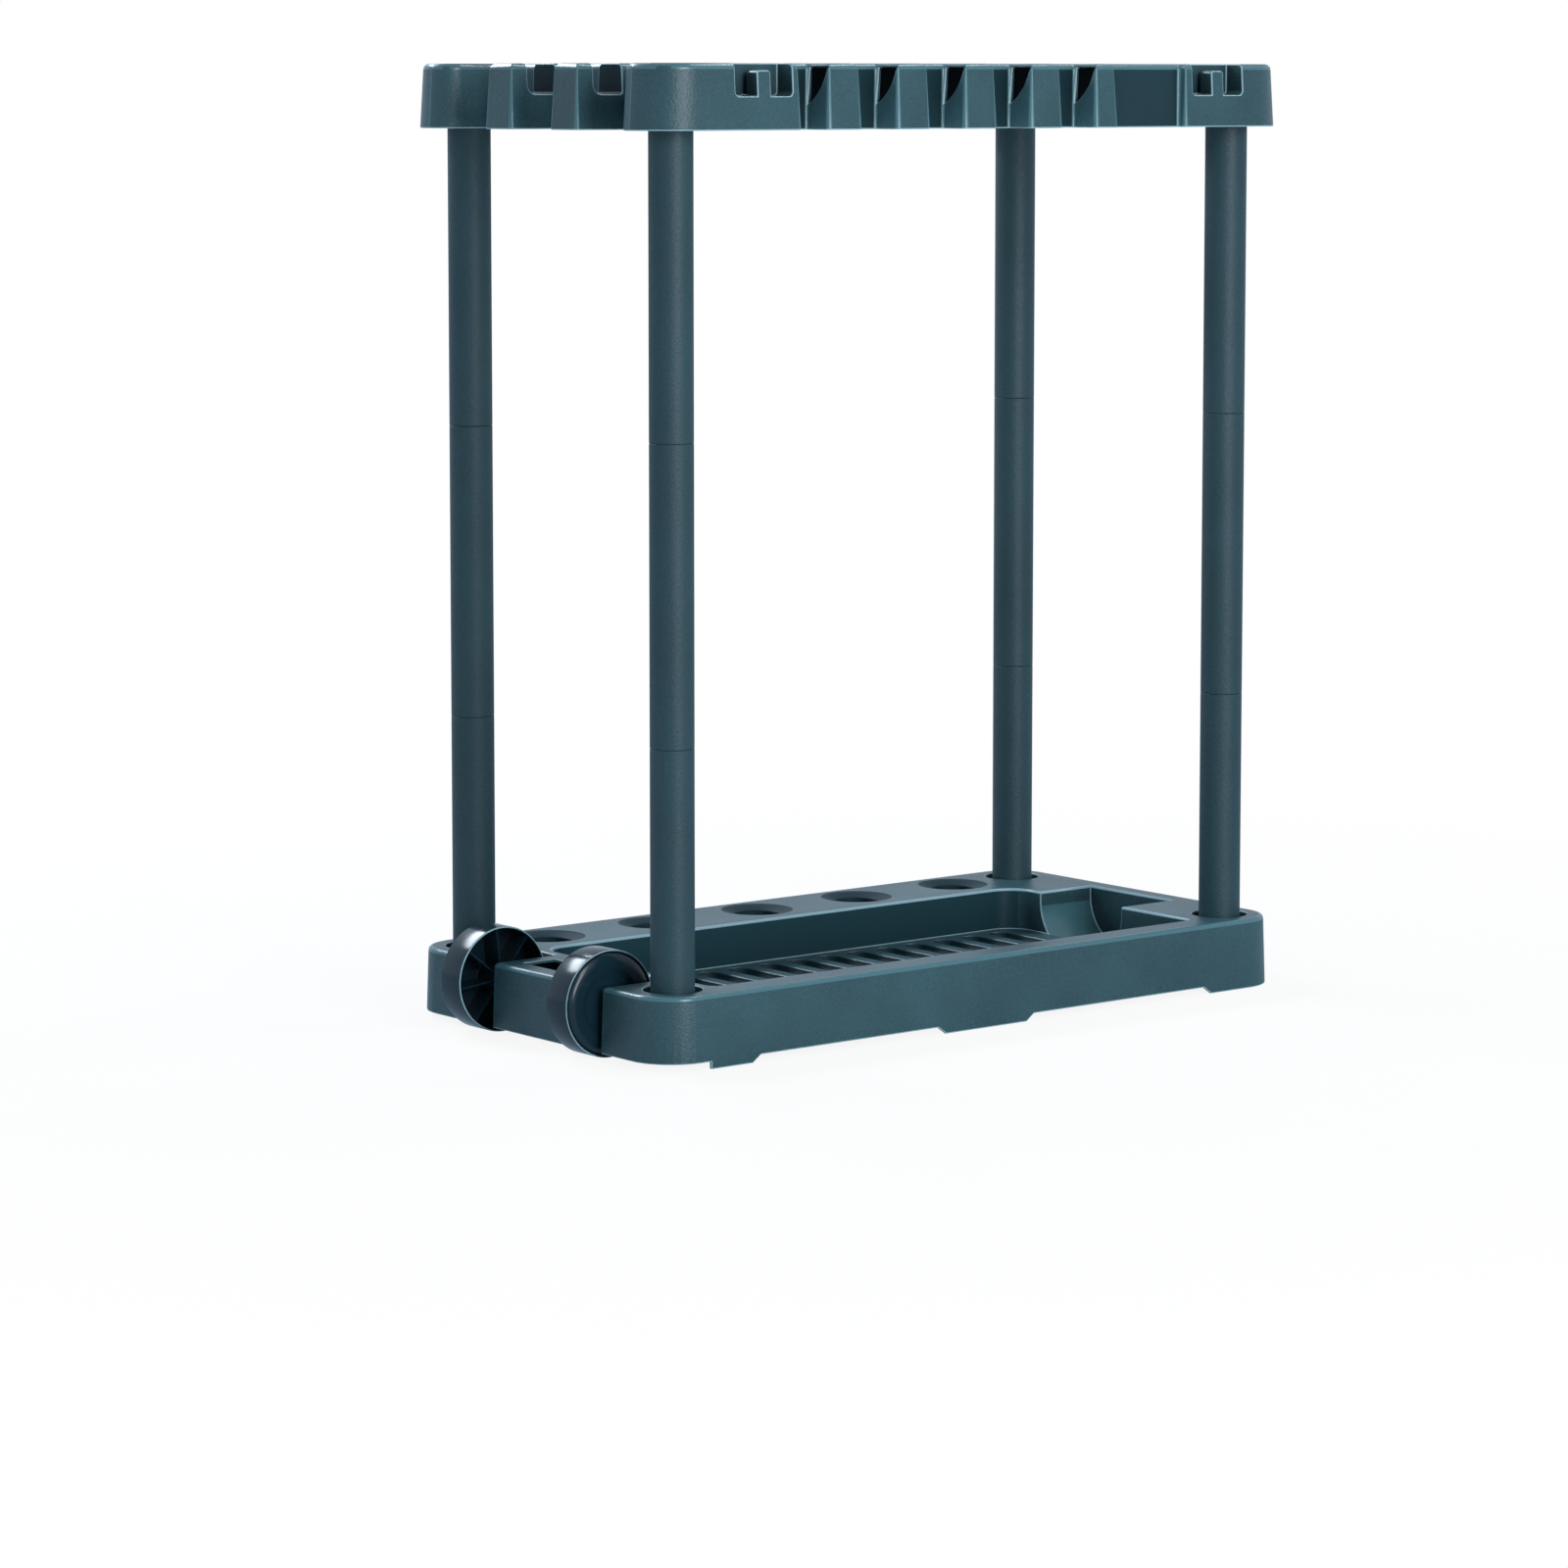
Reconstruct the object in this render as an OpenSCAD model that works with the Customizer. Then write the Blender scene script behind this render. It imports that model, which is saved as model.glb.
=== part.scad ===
// Free-standing rack for long-handled garden tools: a moulded base tray on feet and two
// wheels, four posts that each plug together from three tubes, and a moulded top rack
// with open handle slots. Lengths are in millimetres.
// X runs along the rack with the wheels at -X, -Y is the front and Z is up.

/* [Overall] */
// Length of the base and of the top rack
rack_len = 724; // [690:2:860]
// Depth of the base and of the top rack
rack_dep = 374; // [350:2:460]
// Radius of the four corners of both mouldings
corner_r = 42; // [34:1:48]
// Wall of both mouldings
wall = 3; // [2:0.25:3.5]
// Thickness of their flat decks
deck_t = 3; // [2:0.25:4]
// Radius that rounds the top edge of the base
base_edge_r = 4; // [2:0.25:4.5]
// Radius that rounds the top edge of the top rack
rack_edge_r = 5; // [3:0.25:5]

/* [Base tray] */
// Height of the base deck above the floor
base_h = 64; // [60:1:90]
// Draft of the base walls, from bottom to top
base_draft = 2; // [0.5:0.25:3]
// Height of the feet below the raised skirt
foot_h = 6.4; // [3:0.2:6.6]
// Width of the sloped end of each foot
foot_slope = 9; // [4:1:16]
// Height of the tray floor above the floor
tray_floor_z = 25; // [22:1:40]
// Thickness of the grooved tray floor
tray_floor_t = 11.5; // [11:0.5:12]
// Distance from the left end to the tray
tray_left = 78; // [76:1:110]
// Distance from the right end to the tray
tray_right = 88; // [86:1:120]
// Width of the front rim
rim_front = 32; // [24:1:50]
// Depth of the back deck
deck_back = 95; // [90:1:110]
// Radius of the tray's front corners
tray_r = 8; // [4:1:14]
// Radius of the tray's back corners
tray_big_r = 25; // [12:1:34]
// Width of the round trough at the right end
trough_w = 113; // [90:1:120]
// Depth of the trough below the deck
trough_dep = 54; // [44:0.5:54.5]
// Radius of the trough's lower corners
trough_r = 45; // [20:1:50]
// Width of the rim past the trough
rim_end = 24; // [16:1:30]

/* [Tray grooves] */
// Distance between grooves
groove_pitch = 35; // [28:1:45]
// Radius of each groove
groove_r = 11; // [9.5:0.5:13]
// Depth of each groove
groove_depth = 8.5; // [5:0.5:8.5]
// Distance from the tray's left wall to the first groove
groove_left = 69; // [50:1:90]
// Least distance from the last groove to the tray's right wall
groove_right = 30; // [26:1:60]
// Gap from the groove ends to the tray's front and back wall
groove_gap = 9; // [5:1:20]

/* [Handle cups] */
// Number of cups in the back deck
cup_n = 5; // [3:1:5]
// Distance between cups
cup_pitch = 120; // [100:1:130]
// Inner width of a cup
cup_d = 42; // [30:1:46]
// Width of its flared mouth
cup_mouth_d = 67; // [54:1:70]
// Depth of the flare
cup_flare = 4.5; // [3:0.5:10]
// Distance from the back face to the cup centres
cup_inset = 46; // [42:1:52]
// Thickness of the cup wall and floor
cup_wall = 2.5; // [2:0.25:3]

/* [Posts] */
// Outer diameter of the tubes
post_d = 38; // [30:0.5:40]
// Wall of the tubes
post_wall = 2.2; // [1.6:0.1:3]
// Distance from the ends of the base to the post centres
post_inset_x = 43; // [40:1:50]
// Distance from the front and back of the base to the post centres
post_inset_y = 42; // [40:1:50]
// Length of the lower tubes above the deck
lower_show = 206; // [150:1:300]
// Length of the middle tubes between seams
middle_show = 258; // [150:1:350]
// Length of the upper tubes below the top rack
upper_show = 261; // [150:1:350]
// Length of the spigot that plugs into the tube below
spigot_len = 32; // [20:1:45]
// Diameter of the sunk ring in the deck round each post
moat_d = 51; // [46:0.5:54]
// Depth of that ring
moat_depth = 12; // [6:1:16]
// Height of the post seat above the floor
seat_z = 10.5; // [10:0.5:14]
// Radial clearance of every plugged joint
plug_gap = 0.15; // [0.1:0.05:0.3]

/* [Wheels] */
// Diameter of the wheels
wheel_d = 93; // [80:1:100]
// Width of the wheels
wheel_w = 30; // [22:1:32]
// Distance from the left end to the axle
axle_inset = 16; // [10:1:18]
// Diameter of the axle
axle_d = 8; // [6:0.5:12]
// Radial running clearance of the wheels on the axle
run_gap = 0.08; // [0.05:0.01:0.1]
// Height of the wheels above the floor when the rack stands on its feet
wheel_lift = 0.5; // [0.3:0.1:3]
// Width of the block between the wheels
block_w = 120; // [100:2:124]
// Gap between a wheel and the sides of its well
well_gap = 4; // [3:0.5:5]
// Number of ribs in each wheel
rib_n = 8; // [5:1:12]
// Thickness of a rib
rib_t = 1.3; // [1.2:0.1:3]
// Wall of the tread
tread_t = 2; // [1.5:0.25:4]
// Radius of the raised cap on the closed side
cap_r = 39.5; // [34:0.5:41]
// Height of the cap above the band round it
cap_h = 4; // [2:0.2:5]
// Radius of the dish in the cap
dish_r = 30; // [20:1:32]
// Depth of the dish
dish_dep = 1.4; // [0.5:0.1:3]

/* [Top rack] */
// Height of the top rack
top_h = 56; // [50:1:80]
// Draft of its walls, from bottom to top
top_draft = 3; // [1:0.25:4]
// Width of the handle slots in the long sides, at the bottom
slot_w = 37; // [30:1:42]
// Depth of the handle slots in the long sides
slot_dep = 27.5; // [22:0.5:34]
// Distance between those slots
slot_pitch = 76; // [70:1:84]
// X of the middle of the front row of slots
slot_mid_x = -50.5; // [-60:0.5:-40]
// Width of the first slot, beside the left hook
first_slot_w = 27; // [22:1:36]
// Width of the middle slot in each end, at the bottom
end_slot_w = 55.5; // [48:0.5:60]
// Y of the middle of that slot
end_mid_y = -4.7; // [-8:0.1:8]
// Width of the two fingers beside it
end_finger_w = 38.5; // [32:0.5:40]
// Radius of the upright edges of those fingers
end_finger_r = 3.5; // [2:0.5:8]
// Distance between a post and the slot in the end beside it
block_gap = 4.5; // [4.5:0.5:8]
// Radius of the inner upright edges of the corner blocks
block_r = 22; // [8:1:22]
// Depth of the slots in the ends
end_slot_dep = 60; // [52:1:64]
// Width of the ring of the top rack along the long sides
ring_dep = 84; // [80:1:100]
// Width of the ring of the top rack at the ends
ring_len = 84; // [80:1:100]
// Width of the sunk panel in the front
panel_w = 80; // [40:1:82]
// Depth of that panel
panel_dep = 8; // [3:0.5:10]

/* [Hooks] */
// Width of the pocket that forms a hook
hook_w = 61; // [50:1:62]
// Depth of the pocket from the front
hook_dep = 23; // [18:1:26]
// Depth of the pocket from the top
hook_drop = 27.5; // [20:0.5:32]
// Width of the tab in the middle of the pocket
tab_w = 14.5; // [10:0.5:22]
// Length of the tab from the front
tab_len = 17; // [10:1:17]
// Distance from the rack's top to the tab's top
tab_drop = 6; // [3:1:12]
// Distance from the left end to the middle of the left hook
hook_left = 111; // [109:0.5:112]
// Distance from the right end to the middle of the right hook
hook_right = 92; // [91:0.5:98]

/* [Hidden] */
$fn = 64;

moulded = "#43595f";
tube_colour = "#3b4f56";
wheel_colour = "#1f2e33";
steel = "#b9bdc0";
over = 1;                      // how far a cut runs past a face
bed = 1.5;                     // distance from the base's top to the walls that hang from it
tuck = 0.5;                    // how far the walls below the rack's deck run into it

half_len = rack_len / 2;
half_dep = rack_dep / 2;
post_x = half_len - post_inset_x;
post_y = half_dep - post_inset_y;
tray_x0 = -half_len + tray_left;
tray_x1 = half_len - tray_right;
tray_y0 = -half_dep + rim_front;
tray_y1 = half_dep - deck_back;
trough_x1 = half_len - rim_end;
cup_y = half_dep - cup_inset;
cup_floor_z = foot_h + 2 * cup_wall - 0.5;

wheel_r = wheel_d / 2;
axle_z = wheel_r + wheel_lift;
axle_x = -half_len + axle_inset;
wheel_y0 = block_w / 2 + well_gap;
well_w = wheel_w + 2 * well_gap;
well_y = block_w / 2 + well_w / 2;
well_dep = axle_inset + wheel_r + 3.5;
well_edge_r = 4;
hub_r = axle_d / 2 + 7;
hub_proud = well_gap - 0.4;
face_t = 3;
face_z = wheel_w - cap_h - face_t; // depth of the open side, where the hub's bore ends
lip_t = 1.2;
dish_slope = 5;
rib_turn = 38.8;               // angle of the first rib

rack_z = base_h + lower_show + middle_show + upper_show;
rack_top = rack_z + top_h;
rack_post_z = rack_top - deck_t;
seam_low = base_h + lower_show;
seam_high = seam_low + middle_show;
post_r = post_d / 2;
post_bore_r = post_r - post_wall;

// The box of the whole rack runs from the wheels to the right end, and its middle is x = 0.
origin_x = (wheel_r - axle_inset) / 2;

// Outline helpers. A side's slots are [centre, width, depth, [radius of each edge], root radius].
function arc(c, r, a0, a1, n) =
    [for (i = [0:n]) c + r * [cos(a0 + (a1 - a0) * i / n), sin(a0 + (a1 - a0) * i / n)]];

corner_steps = 10;
least_r = 1;                   // of an upright edge, where its wall is drawn in

function steps(r) = ceil(2 + r / 8);

function slot_pts(s, t) =
    let (u0 = s[0] - s[1] / 2 - t, u1 = s[0] + s[1] / 2 + t, v = s[2] + t, ri = s[4],
         ra = max(s[3][0] - t, least_r), rb = max(s[3][1] - t, least_r))
    concat(arc([u0 - ra, t + ra], ra, -90, 0, steps(s[3][0])), arc([u0 + ri, v - ri], ri, 180, 90, 3),
           arc([u1 - ri, v - ri], ri, 90, 0, 3), arc([u1 + rb, t + rb], rb, 180, 270, steps(s[3][1])));

function side_pts(slots, t) = [for (s = slots) each slot_pts(s, t)];

// The outline of a moulding, drawn in by t: corners and the slots of the four sides.
function outline(sides, t) = concat(
    arc([-half_len + corner_r, -half_dep + corner_r], corner_r - t, 180, 270, corner_steps),
    [for (p = side_pts(sides[0], t)) [p.x, p.y - half_dep]],
    arc([half_len - corner_r, -half_dep + corner_r], corner_r - t, 270, 360, corner_steps),
    [for (p = side_pts(sides[1], t)) [half_len - p.y, p.x]],
    arc([half_len - corner_r, half_dep - corner_r], corner_r - t, 0, 90, corner_steps),
    [for (p = side_pts(sides[2], t)) [-p.x, half_dep - p.y]],
    arc([-half_len + corner_r, half_dep - corner_r], corner_r - t, 90, 180, corner_steps),
    [for (p = side_pts(sides[3], t)) [p.y - half_len, -p.x]]);

// Triangles that fill an outline, found by clipping one ear after another.
function turn(a, b, c) = (b.x - a.x) * (c.y - a.y) - (b.y - a.y) * (c.x - a.x);
function covers(a, b, c, p) = p != a && p != b && p != c && turn(a, b, p) >= 0 && turn(b, c, p) >= 0
    && turn(c, a, p) >= 0;
function is_ear(pts, left, k) =
    let (n = len(left), a = pts[left[(k + n - 1) % n]], b = pts[left[k]], c = pts[left[(k + 1) % n]])
    turn(a, b, c) > 1e-6 && len([for (q = left) if (covers(a, b, c, pts[q])) q]) == 0;
function next_ear(pts, left, k) = is_ear(pts, left, k) ? k : next_ear(pts, left, k + 1);
function ears(pts, left, done = []) = len(left) == 3 ? concat(done, [left]) :
    let (k = next_ear(pts, left, 0), n = len(left))
    ears(pts, [for (i = [0:n - 1]) if (i != k) left[i]],
        concat(done, [[left[(k + n - 1) % n], left[k], left[(k + 1) % n]]]));

// A hollow moulding, open below: rings of the outline up the outside and down the inside.
module moulding(sides, z0, z1, draft, edge_r) {
    outer = concat([[0, z0]], [for (a = [0:30:90])
        [draft + edge_r * (1 - cos(a)), z1 - edge_r * (1 - sin(a))]]);
    inner = [[wall + draft, z1 - deck_t], [wall, z0]];
    rings = concat(outer, inner);
    n = len(outline(sides, 0));
    m = len(outer);
    pts = [for (r = rings) each [for (p = outline(sides, r[0])) [p.x, p.y, r[1]]]];
    function strip(a, b) = [for (i = [0:n - 1]) let (j = (i + 1) % n)
        each [[a * n + i, b * n + i, b * n + j], [a * n + i, b * n + j, a * n + j]]];
    top = ears(outline(sides, outer[m - 1][0]), [for (i = [0:n - 1]) i]);
    ceiling = ears(outline(sides, inner[0][0]), [for (i = [0:n - 1]) i]);
    faces = concat(
        [for (k = [0:m - 2]) each strip(k, k + 1)],
        [for (f = top) [for (k = [2, 1, 0]) (m - 1) * n + f[k]]],
        [for (f = ceiling) [for (k = [0, 1, 2]) m * n + f[k]]],
        strip(m, m + 1), strip(m + 1, 0));
    polyhedron(points = pts, faces = faces, convexity = 12);
}

module place() translate([origin_x, 0, 0]) children();

module at_posts() for (sx = [-1, 1], sy = [-1, 1]) translate([sx * post_x, sy * post_y, 0]) children();

// A rectangle with its own radius at each corner: front left, front right, back right, back left.
module rounded_rect(x0, y0, x1, y1, r, grow = 0) {
    a = [for (q = r) q + grow];
    x = [x0 - grow, x1 + grow];
    y = [y0 - grow, y1 + grow];
    polygon([[x[0] + a[0], y[0]], [x[1] - a[1], y[0]], [x[1], y[0] + a[1]], [x[1], y[1] - a[2]],
        [x[1] - a[2], y[1]], [x[0] + a[3], y[1]], [x[0], y[1] - a[3]], [x[0], y[0] + a[0]]]);
    translate([x[0] + a[0], y[0] + a[0]]) circle(a[0]);
    translate([x[1] - a[1], y[0] + a[1]]) circle(a[1]);
    translate([x[1] - a[2], y[1] - a[2]]) circle(a[2]);
    translate([x[0] + a[3], y[1] - a[3]]) circle(a[3]);
}

// Base tray
base_sides = [[], [], [],
    [for (s = [-1, 1]) [s * well_y, well_w, well_dep, [well_edge_r, well_edge_r], 4]]];
tray_radii = [tray_r, tray_r, tray_big_r, tray_big_r];

module tray_plan(grow = 0) rounded_rect(tray_x0, tray_y0, tray_x1, tray_y1, tray_radii, grow);

// A slot seen from its end: open at height 0, with round lower corners. It reaches up by rise.
module slot_shape(w, h, r, rise) intersection() {
    union() {
        translate([-w / 2, r - h]) square([w, h]);
        translate([-w / 2 + r, -h]) square([w - 2 * r, h]);
        for (s = [-1, 1]) translate([s * (w / 2 - r), r - h]) circle(r);
    }
    translate([-w / 2, -h]) square([w, h + rise]);
}

trough_y = -3.8;               // the trough's middle

module trough(x0, x1, grow, rise)
    translate([x0, trough_y, base_h]) rotate([90, 0, 90]) linear_extrude(x1 - x0)
        slot_shape(trough_w + 2 * grow, trough_dep + grow, trough_r + grow, rise);

groove_len = tray_y1 - tray_y0 - 2 * groove_gap;
groove_n = floor((tray_x1 - tray_x0 - groove_left - groove_right) / groove_pitch);

// One groove cutter with round ends, lying along Y.
module groove() rotate([-90, 0, 0]) rotate_extrude() difference() {
    union() {
        translate([0, groove_r]) square([groove_r, groove_len - 2 * groove_r]);
        translate([0, groove_r]) circle(groove_r);
        translate([0, groove_len - groove_r]) circle(groove_r);
    }
    translate([-2 * groove_r, -over]) square([2 * groove_r, groove_len + 2 * over]);
}

module grooves() for (i = [0:groove_n])
    translate([tray_x0 + groove_left + i * groove_pitch, tray_y0 + groove_gap,
        tray_floor_z + groove_r - groove_depth]) groove();

module at_cups() for (i = [0:cup_n - 1])
    translate([(i - (cup_n - 1) / 2) * cup_pitch, cup_y, 0]) children();

module cup_outside() rotate_extrude() {
    translate([0, cup_floor_z - cup_wall]) square([cup_d / 2 + cup_wall, base_h - bed - cup_floor_z + cup_wall]);
    polygon([[0, base_h - cup_flare - cup_wall], [cup_d / 2 + cup_wall, base_h - cup_flare - cup_wall],
        [cup_mouth_d / 2 + 1, base_h - bed], [0, base_h - bed]]);
}

module cup_inside() rotate_extrude() {
    translate([0, cup_floor_z]) square([cup_d / 2, base_h - cup_floor_z]);
    polygon([[0, base_h - cup_flare], [cup_d / 2, base_h - cup_flare], [cup_mouth_d / 2, base_h],
        [cup_mouth_d / 2, base_h + over], [0, base_h + over]]);
}

module socket_outside() rotate_extrude() {
    translate([0, seat_z - wall]) square([post_r + plug_gap + wall, base_h - bed - seat_z + wall]);
    translate([0, base_h - moat_depth - wall]) square([moat_d / 2 + wall, moat_depth + wall - bed]);
}

module socket_inside() {
    translate([0, 0, seat_z]) cylinder(r = post_r + plug_gap, h = base_h - seat_z);
    translate([0, 0, base_h - moat_depth]) cylinder(d = moat_d, h = moat_depth + over);
}

bearing_t = 8;
bearing_w = axle_d + 12;

module bearing() translate([axle_x - bearing_w / 2, block_w / 2 - bearing_t - 1, foot_h + 0.6])
    cube([bearing_w, bearing_t, base_h - bed - foot_h - 0.6]);

// The axle snaps up into the bearings through a mouth narrower than itself.
module axle_cut() {
    translate([axle_x, 0, axle_z]) rotate([90, 0, 0])
        cylinder(d = axle_d + 2 * run_gap, h = block_w + 2 * over, center = true);
    translate([axle_x - 0.44 * axle_d, -block_w / 2 - over, -over])
        cube([0.88 * axle_d, block_w + 2 * over, axle_z]);
}

// The opening in the deck of the block between the wheels
hatch_side = 19;
hatch_end = 21;
hatch_y = block_w / 2 - hatch_side;
hatch_x0 = -half_len + hatch_end;
hatch_back = 12;
hatch_x1 = -half_len + well_dep - hatch_back;

module hatch() translate([0, 0, base_h - deck_t - over]) linear_extrude(deck_t + 2 * over)
    rounded_rect(hatch_x0, -hatch_y, hatch_x1, hatch_y, [3, 3, 3, 3]);

// What is cut from the skirt so that it stands on feet, seen from the front.
foot_left_in = 52;              // from the left end to the left feet
foot_left_w = 54;
foot_mid_x = -2;
foot_mid_w = 112;
foot_right_in = 101;            // length of the right feet
foot_corner = 20;               // how far a right foot reaches past its post's centre
foot_left = half_len - foot_left_in;
foot_right = half_len - foot_right_in;

module foot_gap(x0, x1) rotate([90, 0, 0]) linear_extrude(rack_dep + 2 * over, center = true)
    polygon([[x0 - foot_slope, -over], [x1 + foot_slope, -over], [x1 + foot_slope, 0],
        [x1, foot_h], [x0, foot_h], [x0 - foot_slope, 0]]);

module foot_gaps() {
    translate([-half_len - over, -half_dep - over, -over])
        cube([half_len + over - foot_left, rack_dep + 2 * over, foot_h + over]);
    foot_gap(-foot_left + foot_left_w, foot_mid_x - foot_mid_w / 2);
    foot_gap(foot_mid_x + foot_mid_w / 2, foot_right);
    translate([foot_right + foot_corner, -post_y + foot_corner, -over])
        cube([rack_len, 2 * (post_y - foot_corner), foot_h + over]);
}

module base_tray() color(moulded) place() difference() {
    union() {
        moulding(base_sides, 0, base_h, base_draft, base_edge_r);
        translate([0, 0, tray_floor_z - tray_floor_t])
            linear_extrude(base_h - bed - tray_floor_z + tray_floor_t) tray_plan(wall);
        trough(tray_x1 - 2 * wall, trough_x1 + wall, wall - 0.5, -bed);
        at_cups() cup_outside();
        at_posts() socket_outside();
        for (m = [0, 1]) mirror([0, m, 0]) bearing();
    }
    translate([0, 0, tray_floor_z]) linear_extrude(base_h) tray_plan();
    trough(tray_x1 - over, trough_x1, 0, over);
    grooves();
    at_cups() cup_inside();
    at_posts() socket_inside();
    axle_cut();
    hatch();
    foot_gaps();
}

// Top rack
panel_finger_w = 28;           // the finger between the last slot and the sunk panel
front_right_x = slot_mid_x + slot_pitch * 2 + slot_w / 2;
panel_x = front_right_x + panel_finger_w + panel_w / 2;
first_slot_x = slot_mid_x - slot_pitch * 2 + (slot_w - first_slot_w) / 2;
slot_edges = [4, 5];            // a slot's left edge is sharper than its right one
panel_edges = [3, 4];
root_r = 3;
front_slots = concat([[first_slot_x, first_slot_w, slot_dep, slot_edges, root_r]],
    [for (i = [-1:2]) [slot_mid_x + i * slot_pitch, slot_w, slot_dep, slot_edges, root_r]],
    [[panel_x, panel_w, panel_dep, panel_edges, 3]]);
back_slots = [for (i = [0:cup_n - 1])
    [(i - (cup_n - 1) / 2) * cup_pitch, slot_w, slot_dep, slot_edges, root_r]];
// Each end has three slots: a middle one, and one between each finger and the block round a post.
finger_in = end_slot_w / 2;
finger_out = finger_in + end_finger_w;
block_y = post_y - post_r - block_gap;
block_edge_r = min(block_r, half_dep - corner_r - block_y - 0.5);
function end_slot(a, b, ra, rb) = [(a + b) / 2, b - a, end_slot_dep, [ra, rb], root_r];
function end_slots(y) = [end_slot(-block_y, y - finger_out, block_edge_r, end_finger_r),
    end_slot(y - finger_in, y + finger_in, end_finger_r, end_finger_r),
    end_slot(y + finger_out, block_y, end_finger_r, block_edge_r)];
rack_sides = [front_slots, end_slots(end_mid_y), back_slots, end_slots(-end_mid_y)];

bay_x = half_len - ring_len;
bay_y = half_dep - ring_dep;
bay_r = 20;

module bay(grow, z0, z1) translate([0, 0, z0]) linear_extrude(z1 - z0)
    rounded_rect(-bay_x, -bay_y, bay_x, bay_y, [bay_r, bay_r, bay_r, bay_r], grow);

// A pocket open to the front and the top, with a tab standing in it.
module at_hooks() for (x = [-half_len + hook_left, half_len - hook_right]) translate([x, -half_dep, rack_top]) children();

module hook_walls() translate([-hook_w / 2 - wall, top_draft + 1, -hook_drop - wall])
    cube([hook_w + 2 * wall, hook_dep + wall - top_draft - 1, hook_drop + wall - deck_t + tuck]);

pocket_r = 4;

module hook_cut() difference() {
    translate([0, hook_dep, 0]) rotate([90, 0, 0]) linear_extrude(hook_dep + 2 * over) difference() {
        slot_shape(hook_w, hook_drop, pocket_r, over);
        translate([-tab_w / 2, -hook_drop - over]) square([tab_w, 2 * over]);
    }
    translate([0, tab_len, 0]) rotate([90, 0, 0]) linear_extrude(tab_len + 3 * over) tab_shape();
}

module tab_shape() {
    r = 3;
    translate([-tab_w / 2, -hook_drop - 2]) square([tab_w, hook_drop + 2 - tab_drop - r]);
    translate([-tab_w / 2 + r, -hook_drop]) square([tab_w - 2 * r, hook_drop - tab_drop]);
    for (s = [-1, 1]) translate([s * (tab_w / 2 - r), -tab_drop - r]) circle(r);
}

// The rounded groove that crosses the fingers at both ends of the rack.
dip_in = 20;
dip_w = 30;
dip_h = 26;
dip_outer_r = 8;
dip_inner_r = 2.5;
dip_len = 2 * finger_out + 2;

module dip(grow, rise) for (m = [0, 1]) mirror([m, 0, 0])
    translate([-half_len + dip_in, end_mid_y + dip_len / 2, rack_top]) rotate([90, 0, 0])
        linear_extrude(dip_len) intersection() {
            rounded_rect(0, -dip_h, dip_w, dip_h, [dip_outer_r, dip_inner_r, dip_inner_r, dip_outer_r], grow);
            translate([-grow, -dip_h - grow]) square([dip_w + 2 * grow, dip_h + grow + rise]);
        }

finger_top_w = end_finger_w - 2 * top_draft - 2;

module dip_walls() intersection() {
    dip(wall, 0);
    for (s = [-1, 1])
        translate([-rack_len, end_mid_y + s * (finger_in + end_finger_w / 2) - finger_top_w / 2, rack_z])
            cube([2 * rack_len, finger_top_w, top_h - deck_t + tuck]);
}

// The window under the deck at the root of each front finger
window_w = 23;
window_h = 31;
window_far = 42;               // from the middle of its sloped side to the centre of that side's arc

module window_shape() intersection() {
    side = norm([window_w, window_h]);
    translate([-window_w, -window_h]) square([window_w, window_h]);
    translate([window_h * window_far / side - window_w / 2, window_w * window_far / side - window_h / 2])
        circle(norm([side / 2, window_far]));
}

module window_cut(x) translate([x - over, -half_dep + slot_dep + 0.5, rack_top - deck_t])
    rotate([90, 0, -90]) mirror([0, 0, 1]) linear_extrude(wall + top_draft + 2 * over) mirror([1, 0])
        window_shape();

window_xs = concat([first_slot_x + first_slot_w / 2],
    [for (i = [-1:2]) slot_mid_x + i * slot_pitch + slot_w / 2]);

// The sockets for the posts, with collars that thin towards the deck
socket_r = post_r + plug_gap;
collar_t = 2.5;
collar_end_t = 0.7;

module top_rack() color(moulded) place() difference() {
    union() {
        moulding(rack_sides, rack_z, rack_top, top_draft, rack_edge_r);
        bay(wall, rack_z, rack_top - deck_t + tuck);
        at_posts() translate([0, 0, rack_z])
            cylinder(r1 = socket_r + collar_t, r2 = socket_r + collar_end_t, h = top_h - deck_t + tuck);
        at_hooks() hook_walls();
        dip_walls();
    }
    bay(0, rack_z - over, rack_top + over);
    at_posts() translate([0, 0, rack_z - over]) cylinder(r = socket_r, h = top_h - deck_t + over);
    at_hooks() hook_cut();
    dip(0, over);
    for (x = window_xs) window_cut(x);
}

// Posts: a tube with, above the first level, a spigot that plugs into the tube below.
module tube(z0, z1, spigot) {
    rotate_extrude() {
        translate([post_bore_r, z0]) square([post_wall, z1 - z0]);
        if (spigot) {
            translate([post_bore_r - post_wall - plug_gap, z0 - spigot_len])
                square([post_wall, spigot_len + post_wall]);
            translate([post_bore_r - post_wall - plug_gap, z0])
                square([post_wall + plug_gap + over, post_wall]);
        }
    }
}

levels = [[seat_z, seam_low], [seam_low, seam_high], [seam_high, rack_post_z]];

module post_tube(sx, sy, level) color(tube_colour) place() translate([sx * post_x, sy * post_y, 0])
    tube(levels[level][0], levels[level][1], level > 0);

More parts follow.
